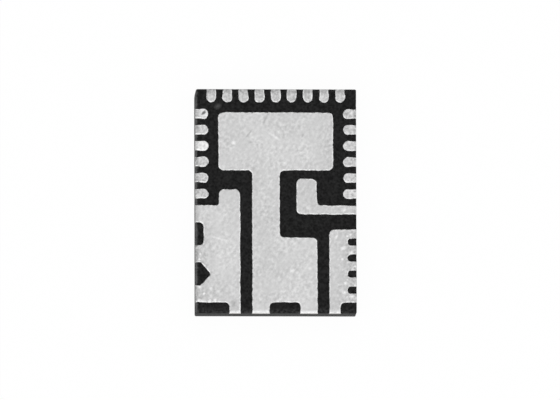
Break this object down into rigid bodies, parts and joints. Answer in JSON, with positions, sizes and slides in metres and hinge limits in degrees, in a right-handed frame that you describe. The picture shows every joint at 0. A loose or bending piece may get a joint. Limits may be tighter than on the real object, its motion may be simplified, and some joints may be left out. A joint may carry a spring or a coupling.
{
  "type": "quad flat no-lead power chip",
  "caption": "Flat rectangular chip package with a black moulded body, tin-plated edge leads on three sides and large stepped power pads on its terminal face.",
  "frame": {"origin": "centre of the flat marking face, which lies on the table", "axes": "+X along the short side, +Y along the long side towards the edge with the most leads, +Z out of the terminal face"},
  "size_m": [0.005, 0.007, 0.0009],
  "materials": {
    "moulding": "matt, finely textured",
    "lead_frame": "matt tin plating on copper",
    "silicon": "polished",
    "solder": "satin",
    "clip_copper": "rolled copper",
    "bond_wire": "drawn wire"
  },
  "bodies": {
    "root": {"mould_body": "moulding", "ground_pad": "lead_frame", "input_pad": "lead_frame", "switch_pad": "lead_frame", "bias_pad": "lead_frame", "lead_top_1": "lead_frame", "lead_top_2": "lead_frame", "lead_top_3": "lead_frame", "lead_top_4": "lead_frame", "lead_top_5": "lead_frame", "lead_top_6": "lead_frame", "lead_top_7": "lead_frame", "lead_top_8": "lead_frame", "lead_top_9": "lead_frame", "lead_left_1": "lead_frame", "lead_left_2": "lead_frame", "lead_left_3": "lead_frame", "lead_left_4": "lead_frame", "lead_left_5": "lead_frame", "lead_left_6": "lead_frame", "lead_right_1": "lead_frame", "lead_right_2": "lead_frame", "lead_right_3": "lead_frame", "lead_right_4": "lead_frame", "lead_right_5": "lead_frame", "lead_right_6": "lead_frame", "controller_die": "silicon", "high_side_die": "silicon", "low_side_die": "silicon", "controller_die_attach": "solder", "high_side_die_attach": "solder", "low_side_die_attach": "solder", "clip": "clip_copper", "clip_solder_high_side": "solder", "clip_solder_low_side": "solder", "clip_solder_pad": "solder", "wire_top_1": "bond_wire", "wire_top_2": "bond_wire", "wire_top_3": "bond_wire", "wire_top_4": "bond_wire", "wire_top_5": "bond_wire", "wire_top_6": "bond_wire", "wire_top_7": "bond_wire", "wire_top_8": "bond_wire", "wire_top_9": "bond_wire", "wire_left_1": "bond_wire", "wire_left_2": "bond_wire", "wire_left_3": "bond_wire", "wire_left_4": "bond_wire", "wire_left_5": "bond_wire", "wire_left_6": "bond_wire", "wire_right_1": "bond_wire", "wire_right_2": "bond_wire", "wire_right_3": "bond_wire", "wire_right_4": "bond_wire", "wire_right_5": "bond_wire", "wire_right_6": "bond_wire", "wire_gate_high": "bond_wire", "wire_gate_low": "bond_wire", "wire_bias": "bond_wire"}
  },
  "joints": []
}
